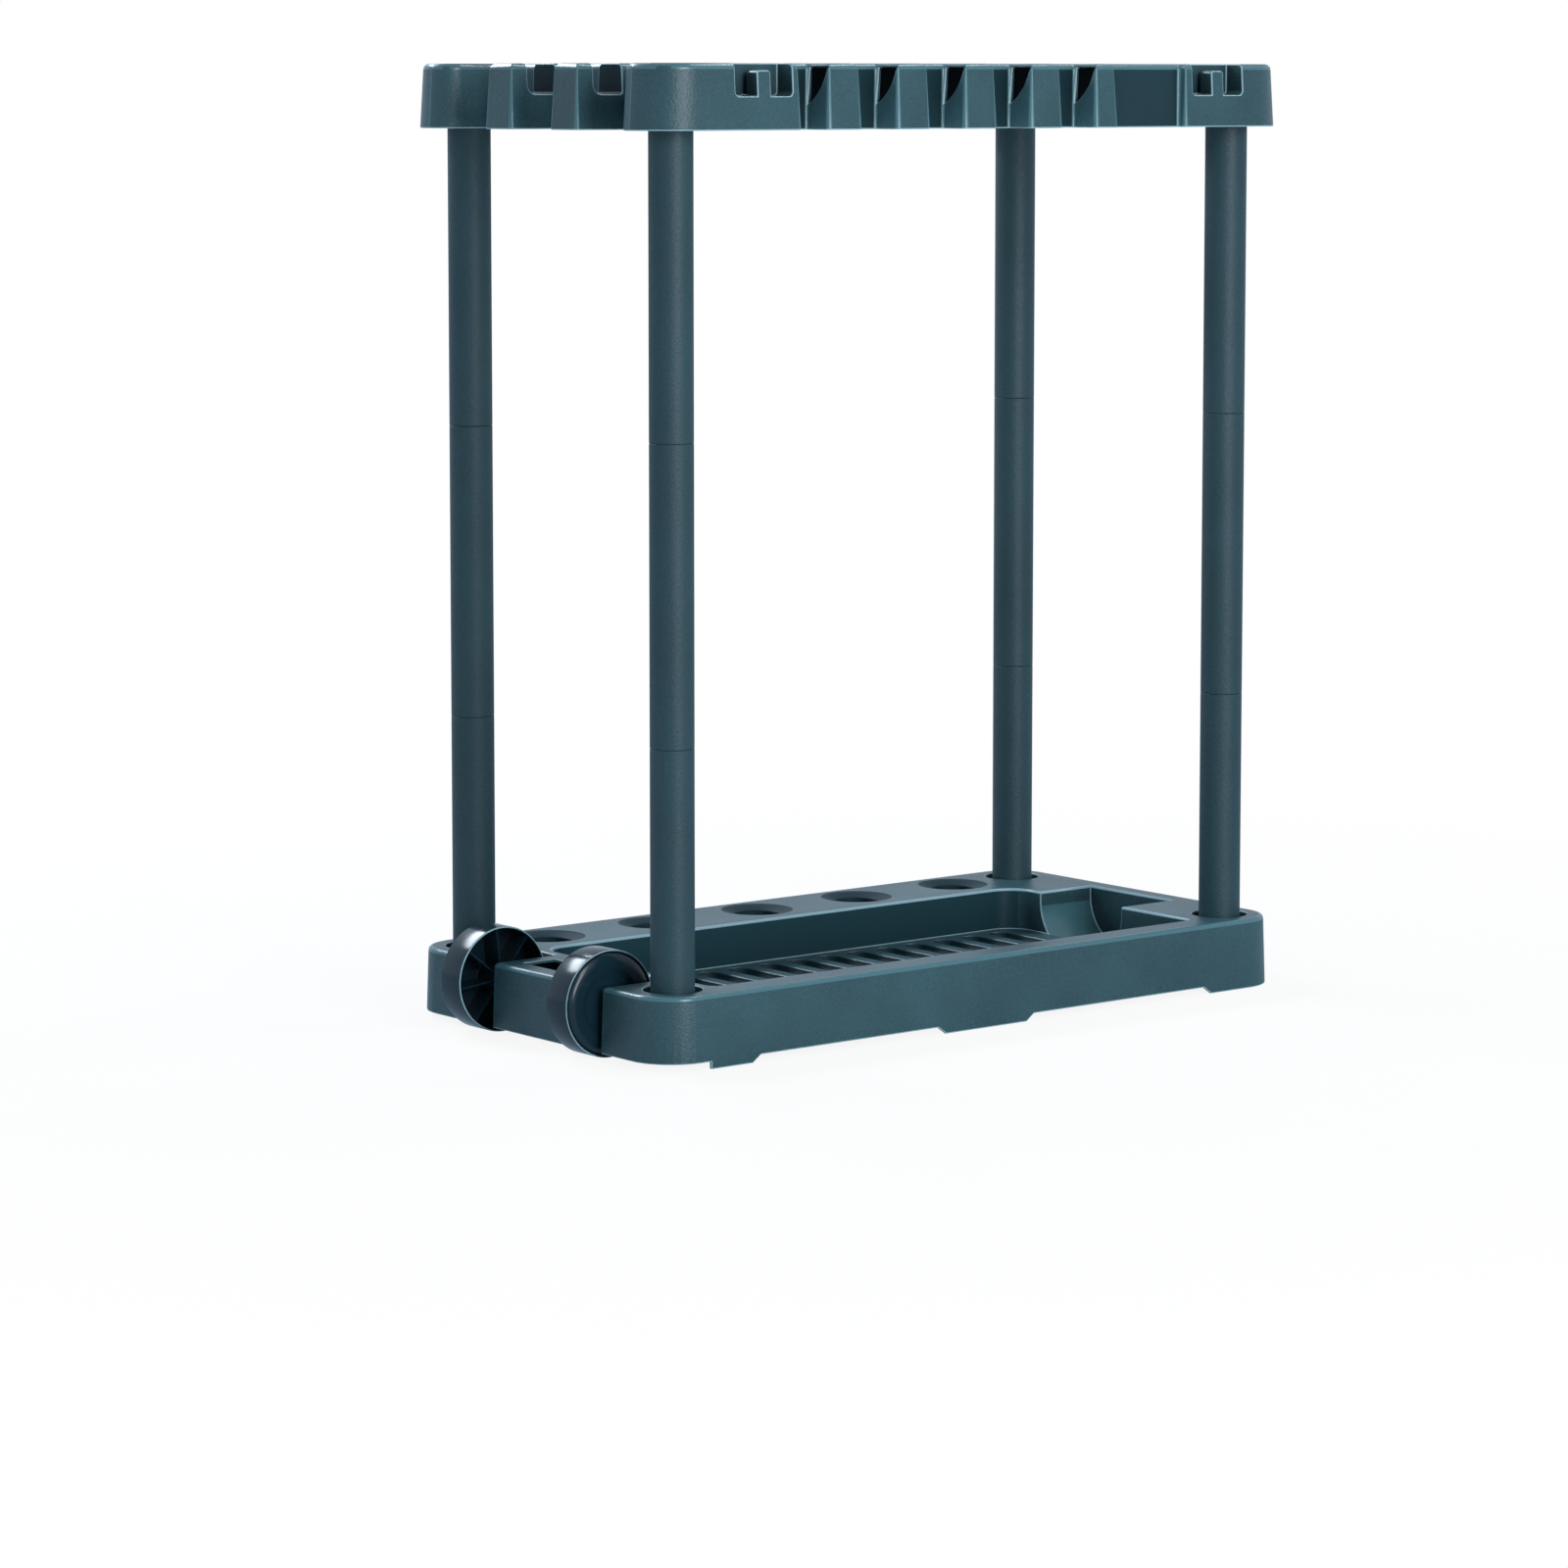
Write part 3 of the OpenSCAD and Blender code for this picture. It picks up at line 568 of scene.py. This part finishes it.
def is_cup(at, normal):
    """Whether a face is the flared mouth or the wall of a cup."""
    steps_off = [abs(at.x - MIDDLE_X - i * CUP_PITCH) for i in CUP_STEPS]
    off = math.hypot(min(steps_off), at.y - CUP_Y)
    return off < CUP_MOUTH and normal.z > -0.1 and CUP_FLOOR_Z < at.z < DECK_Z - HAIR


def is_dip(at, normal):
    """Whether a face lies in the dip that crosses the end fingers."""
    off = HALF_LEN - abs(at.x - MIDDLE_X)
    deep = RACK_Z - DIP_DEPTH < at.z < RACK_Z - HAIR
    return DIP_FROM_END[0] < off < DIP_FROM_END[1] and abs(normal.y) < 0.3 and deep


def in_front_row(at, depth):
    """Whether a place lies behind the rack's front face by a depth in the range given, clear of
    the corners and the hooks."""
    hooked = any(abs(at.x - MIDDLE_X - hook) < HOOK_HALF for hook in HOOKS)
    in_row = abs(at.x - MIDDLE_X) < HALF_LEN - CORNER and not hooked
    return in_row and depth[0] < at.y + HALF_DEP < depth[1]


def is_sunk_panel(at, normal):
    """Whether a face is the back of the sunk panel or of a front slot."""
    return normal.y < -0.95 and in_front_row(at, SUNK_BACK)


def is_slot_side(at, normal):
    """Whether a face is the left-facing side of a front slot."""
    return normal.x < -0.9 and in_front_row(at, SLOT_DEPTH)


# How far edges are rounded, in millimetres: all edges, those round tray and trough, the tubes'
EDGE_ROUND = 1.0
RIM_ROUND = 2.2
TUBE_ROUND = 0.8

# Rounded edges carry painted highlights: lighter on those the solid has round already, palest on those
# rounded here
base = rounded_copy("base_tray", "base_moulding", (SHELL, EDGE_PAINTED_HIGHLIGHT, RIM_PAINTED_HIGHLIGHT), EDGE_ROUND, RIM_ROUND, on_rim)
# Painted shade on the tray's back wall
finish_where(base, TRAY_WALL_PAINTED_SHADE, is_tray_wall)
# Painted shade in the tray's grooves and the cups
finish_where(base, HOLLOW_PAINTED_SHADE, is_groove, (0, 1))
finish_where(base, HOLLOW_PAINTED_SHADE, is_cup, (0, 1, 2))
# The grooves' rims keep the grained finish, without the painted highlight
finish_where(base, SHELL, is_groove_rim, (2,))
# Painted shade on the hollow below
finish_core_side(base)
stand_in(base, "base_tray", "rack")
# The rack's rounded edges carry the same painted highlights
rack = rounded_copy("top_rack", "rack_moulding", (SHELL, EDGE_PAINTED_HIGHLIGHT, RIM_PAINTED_HIGHLIGHT), EDGE_ROUND)
# Painted shade on the backs of the sunk panel and the front slots
finish_where(rack, PANEL_PAINTED_SHADE, is_sunk_panel)
# Painted shade in the dips across the end fingers
finish_where(rack, HOLLOW_PAINTED_SHADE, is_dip, (0, 1))
# Painted light on the left-facing sides of the front slots
finish_where(rack, SLOT_SIDE_PAINTED_LIGHT, is_slot_side)
# Painted shade on the hollow below
finish_core_side(rack)
stand_in(rack, "top_rack", "rack")


# The wheels
# Their sizes are in millimetres, measured from the open side to the closed face
WHEEL_R = 46.5
WHEEL_W = 30
TREAD_T = 2
LIP_T = 1.2
CAP_R = 44
CAP_H = 4
CAP_ROUND = 8
DISH_R = 30
DISH_SLOPE = 5
DISH_DEPTH = 1.4
FACE_T = 3
INSIDE_Z = WHEEL_W - CAP_H - FACE_T
HUB_R = 11
HUB_PROUD = 3.6
BORE_R = 4.08
WHEEL_ROUND = 0.8
WHEEL_STEPS = 128
# The open side of each wheel is this far from the middle of the rack
WHEEL_Y = 64
# Ribs start RIB_LOW inside the open side and run RIB_BITE into the hub, the tread and the face.
# The first one stands at RIB_TURN degrees.
RIB_COUNT = 8
RIB_T = 1.3
RIB_TURN = 38.8
RIB_LOW = 2
RIB_BITE = 1
# Middle of the axle, from the frame, in metres
axle_low, axle_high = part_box("wheel_axle")
AXLE = (axle_low + axle_high) / 2


def wheel_chain():
    """Half of the wheel's section, from the middle of its closed face round to its blind bore."""
    band_z = WHEEL_W - CAP_H
    cap = [(CAP_R - CAP_ROUND + CAP_ROUND * math.sin(math.radians(a)),
            band_z + CAP_H * math.cos(math.radians(a))) for a in range(0, 91, 15)]
    lip_z = band_z + CAP_H / 2
    rim = [(WHEEL_R - LIP_T, band_z), (WHEEL_R - LIP_T, lip_z), (WHEEL_R, lip_z), (WHEEL_R, 0),
           (WHEEL_R - TREAD_T, 0), (WHEEL_R - TREAD_T, INSIDE_Z)]
    hub = [(HUB_R, INSIDE_Z), (HUB_R, -HUB_PROUD), (BORE_R, -HUB_PROUD), (BORE_R, INSIDE_Z),
           (0, INSIDE_Z)]
    dish_z = WHEEL_W - DISH_DEPTH
    return [(0, dish_z), (DISH_R - DISH_SLOPE, dish_z), (DISH_R, WHEEL_W)] + cap + rim + hub


def rib_tree():
    """Geometry nodes for flat ribs that stand round a hub."""
    tree = bpy.data.node_groups.new("ribs_round_a_hub", "GeometryNodeTree")
    for name, kind in (("Count", "NodeSocketInt"), ("First angle", "NodeSocketFloat"),
                       ("Middle", "NodeSocketVector"), ("Size", "NodeSocketVector"),
                       ("Material", "NodeSocketMaterial")):
        tree.interface.new_socket(name, in_out="INPUT", socket_type=kind)
    tree.interface.new_socket("Geometry", in_out="OUTPUT", socket_type="NodeSocketGeometry")
    sizes = add(tree, "NodeGroupInput").outputs
    blade = add(tree, "GeometryNodeMeshCube", {"Size": sizes["Size"]})
    blade = add(tree, "GeometryNodeTransform",
                {"Geometry": blade.outputs["Mesh"], "Translation": sizes["Middle"]})
    hubs = add(tree, "GeometryNodeMeshLine", {"Count": sizes["Count"]})
    step = add(tree, "ShaderNodeMath", {1: sizes["Count"]}, operation="DIVIDE")
    step.inputs[0].default_value = 2 * math.pi
    number = add(tree, "GeometryNodeInputIndex").outputs["Index"]
    angle = add(tree, "ShaderNodeMath", {0: number, 1: step.outputs[0], 2: sizes["First angle"]},
                operation="MULTIPLY_ADD")
    spin = add(tree, "ShaderNodeCombineXYZ", {"Z": angle.outputs[0]})
    ribs = add(tree, "GeometryNodeInstanceOnPoints", {"Points": hubs.outputs["Mesh"],
               "Instance": blade.outputs["Geometry"], "Rotation": spin.outputs["Vector"]})
    hubs.inputs["Offset"].default_value = (0, 0, 0)
    real = add(tree, "GeometryNodeRealizeInstances", {"Geometry": ribs.outputs["Instances"]})
    made = add(tree, "GeometryNodeSetMaterial", {"Geometry": real.outputs["Geometry"],
                                                 "Material": sizes["Material"]})
    add(tree, "NodeGroupOutput", {"Geometry": made.outputs["Geometry"]})
    return tree


def is_rib_edge(at, normal):
    """Whether a face is the free edge of a rib, before the ribs are put in place."""
    return normal.z < LEVEL_DOWN


def wheel_ribs(name, tree, place):
    piece = link(name, bpy.data.meshes.new(name), None)
    maker = piece.modifiers.new("ribs", "NODES")
    maker.node_group = tree
    inner = HUB_R - RIB_BITE
    outer = WHEEL_R - TREAD_T + RIB_BITE
    high = INSIDE_Z + RIB_BITE
    sizes = {"Count": RIB_COUNT, "First angle": math.radians(RIB_TURN),
             "Middle": ((inner + outer) / 2 * MM, 0, (RIB_LOW + high) / 2 * MM),
             "Size": ((outer - inner) * MM, RIB_T * MM, (high - RIB_LOW) * MM), "Material": WHEEL}
    for socket in tree.interface.items_tree:
        if socket.name in sizes:
            maker[socket.identifier] = sizes[socket.name]
    piece = flattened(piece)
    # Painted highlight on the ribs' free edges
    finish_where(piece, RIB_PAINTED_HIGHLIGHT, is_rib_edge)
    piece.data.transform(place)
    return piece


def is_wheel_lip(at, normal):
    """Whether a face is the fine lip at either edge of a wheel's tread."""
    radius = math.hypot(at.x - AXLE.x, at.z - AXLE.z)
    return radius > (WHEEL_R - LIP_T) * MM and abs(normal.y) > 0.25


def make_wheels():
    tree = rib_tree()
    chain = [point * MM for point in softened(wheel_chain(), WHEEL_ROUND)]
    for side, way in (("front", -1), ("back", 1)):
        at = Matrix.Translation((AXLE.x, way * WHEEL_Y * MM, AXLE.z))
        place = at @ Matrix.Rotation(-way * math.pi / 2, 4, "X")
        moulding = turned(side + "_wheel_moulding", chain, WHEEL_STEPS, WHEEL, place)
        # Painted highlight on the lips of the tread
        finish_where(moulding, RIM_PAINTED_HIGHLIGHT, is_wheel_lip)
        for part in (moulding, wheel_ribs(side + "_wheel_ribs", tree, place)):
            stand_in(part, "wheel_" + side, side + "_wheel")


make_wheels()
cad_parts["wheel_axle"].data.materials.clear()
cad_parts["wheel_axle"].data.materials.append(STEEL)


# The posts
for end in ("front_left", "front_right", "back_left", "back_right"):
    for level in ("lower", "middle", "upper"):
        node = "post_" + end + "_" + level
        tube = rounded_copy(node, "tube_" + end + "_" + level, (TUBE,), TUBE_ROUND)
        stand_in(tube, node, "rack")


# Studio, in metres and watts
FLOOR_HALF = 8


def make_floor():
    mesh = bpy.data.meshes.new("floor")
    corners = [(x * FLOOR_HALF, y * FLOOR_HALF, 0) for x, y in ((-1, -1), (1, -1), (1, 1), (-1, 1))]
    mesh.from_pydata(corners, [], [(0, 1, 2, 3)])
    floor = link("floor", mesh, seamless_paper())


def softbox(name, at, aim, width, height, watts, colour=WHITE, mirrored=True):
    """A lamp with a flat rectangular front. One that isn't mirrored doesn't show in gloss."""
    data = bpy.data.lights.new(name, "AREA")
    data.color = linear(colour)[:3]
    data.shape = "RECTANGLE"
    data.size = width
    data.size_y = height
    data.energy = watts
    lamp = bpy.data.objects.new(name, data)
    bpy.context.scene.collection.objects.link(lamp)
    lamp.visible_glossy = mirrored
    lamp.location = at
    lamp.rotation_euler = (Vector(aim) - Vector(at)).to_track_quat("-Z", "Y").to_euler()


def make_world(level):
    """Walls that are white to the camera and a little cool otherwise: at full brightness in
    reflections, and at the level given as light."""
    world = bpy.data.worlds.new("studio")
    bpy.context.scene.world = world
    world.use_nodes = True
    tree = world.node_tree
    tree.nodes.clear()
    ray = add(tree, "ShaderNodeLightPath")
    seen = add(tree, "ShaderNodeMath",
               {0: ray.outputs["Is Camera Ray"], 1: ray.outputs["Is Glossy Ray"]},
               operation="MAXIMUM")
    seen = add(tree, "ShaderNodeMath",
               {0: seen.outputs[0], 1: ray.outputs["Is Transmission Ray"]},
               operation="MAXIMUM")
    strength = add(tree, "ShaderNodeMapRange", {"Value": seen.outputs[0]})
    strength.inputs["To Min"].default_value = level
    strength.inputs["To Max"].default_value = 1
    paint = add(tree, "ShaderNodeMix", {"Factor": ray.outputs["Is Camera Ray"]}, data_type="RGBA")
    paint.inputs[6].default_value = linear(MIRRORED_WALLS)
    paint.inputs[7].default_value = linear(WHITE)
    walls = add(tree, "ShaderNodeBackground",
                {"Color": paint.outputs[2], "Strength": strength.outputs["Result"]})
    add(tree, "ShaderNodeOutputWorld", {"Surface": walls.outputs[0]})


bpy.context.scene.view_settings.view_transform = "Standard"
make_camera()
make_floor()
make_world(level=0.3)
# A tall lamp in front gives the wheels and posts their long highlights
softbox("front_softbox", at=(-0.5, -3.6, 1.4), aim=(0, 0, 0.5), width=1.3, height=2.6, watts=102,
        colour="#f6fbff")
# A cool fill from the left, behind the rack
softbox("left_softbox", at=(-2.3, 2.6, 1.2), aim=(0, 0, 0.4), width=1.5, height=2.0, watts=20,
        colour="#cfe2f5", mirrored=False)
# A wide lamp behind and above lights the deck and the rims
softbox("back_softbox", at=(-0.5, 3.0, 2.8), aim=(-0.1, 0, 0.3), width=2.4, height=0.7, watts=105,
        colour="#e6f0fb")
# A small lamp above lights the right end
softbox("top_softbox", at=(1.4, -0.2, 3.0), aim=(0, 0, 0.6), width=0.8, height=0.8, watts=20)
